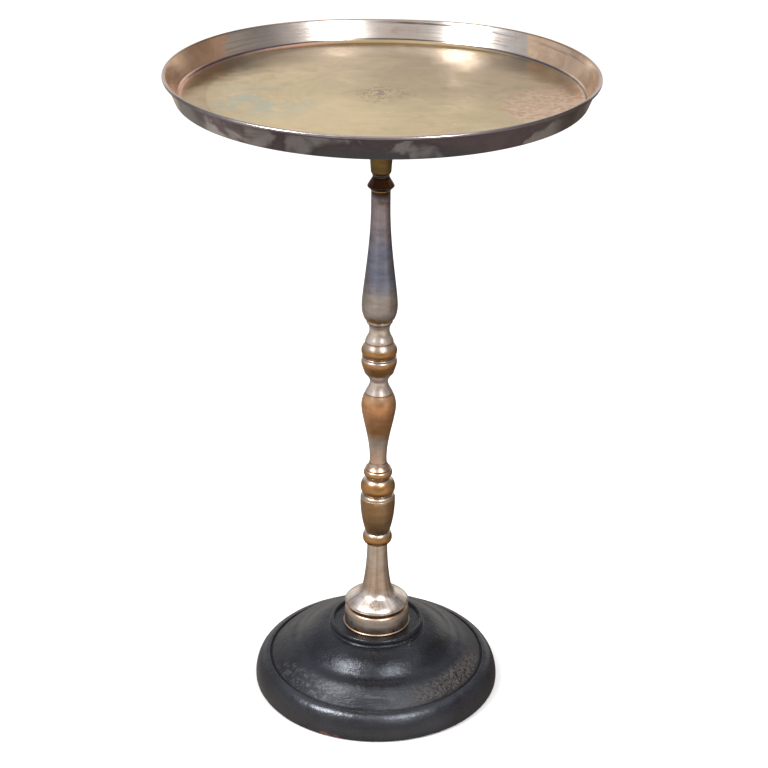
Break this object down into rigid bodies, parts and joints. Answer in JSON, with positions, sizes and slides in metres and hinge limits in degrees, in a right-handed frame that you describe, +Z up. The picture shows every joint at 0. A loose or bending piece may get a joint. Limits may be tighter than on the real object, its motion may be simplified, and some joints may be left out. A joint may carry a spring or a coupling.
{
  "type": "pedestal tray table",
  "caption": "Round brass tray on a slim turned brass pedestal with a stepped, ebonised wooden base; the tray turns on its spigot and lifts off.",
  "frame": {"origin": "floor level at the centre of the base, the lowest point of the baize pad", "axes": "+Z up along the column; X and Y are level and interchangeable on this round part"},
  "size_m": [0.4063, 0.4064, 0.661],
  "materials": {
    "baize": "matte",
    "ebonised_wood": "satin",
    "plain_steel": "satin",
    "spigot_steel": "polished",
    "silvered_brass": "satin",
    "grey_silvered_brass": "satin",
    "gilt_brass": "polished",
    "bronzed_brass": "satin",
    "coppery_brass": "satin",
    "raw_brass": "satin",
    "tray_brass": "polished",
    "wire_brass": "satin",
    "fibre": "matte"
  },
  "bodies": {
    "stand": {"baize_pad": "baize", "wooden_base": "ebonised_wood", "base_washer": "plain_steel", "base_nut": "plain_steel", "tie_rod": "plain_steel", "base_collar": "silvered_brass", "trumpet_foot": "silvered_brass", "lower_ring": "gilt_brass", "lower_cup": "bronzed_brass", "lower_ball": "gilt_brass", "neck_ring": "bronzed_brass", "vase": "coppery_brass", "vase_spool": "silvered_brass", "upper_cup": "bronzed_brass", "upper_ball": "gilt_brass", "neck_bell": "silvered_brass", "shaft_ring": "silvered_brass", "upper_shaft": "grey_silvered_brass", "top_collar": "bronzed_brass", "swivel_spigot": "spigot_steel"},
    "swivel": {"swivel_washer": "fibre"},
    "tray_top": {"tray_socket": "raw_brass", "tray": "tray_brass", "rim_wire": "wire_brass"}
  },
  "joints": [
    {"name": "tray_turn", "type": "hinge", "parent": "stand", "child": "swivel", "pos_m": [0, 0, 0.5592], "axis": [0, 0, 1], "continuous": true},
    {"name": "tray_lift", "type": "slide", "parent": "swivel", "child": "tray_top", "axis": [0, 0, 1], "range_m": [0, 0.055]}
  ]
}
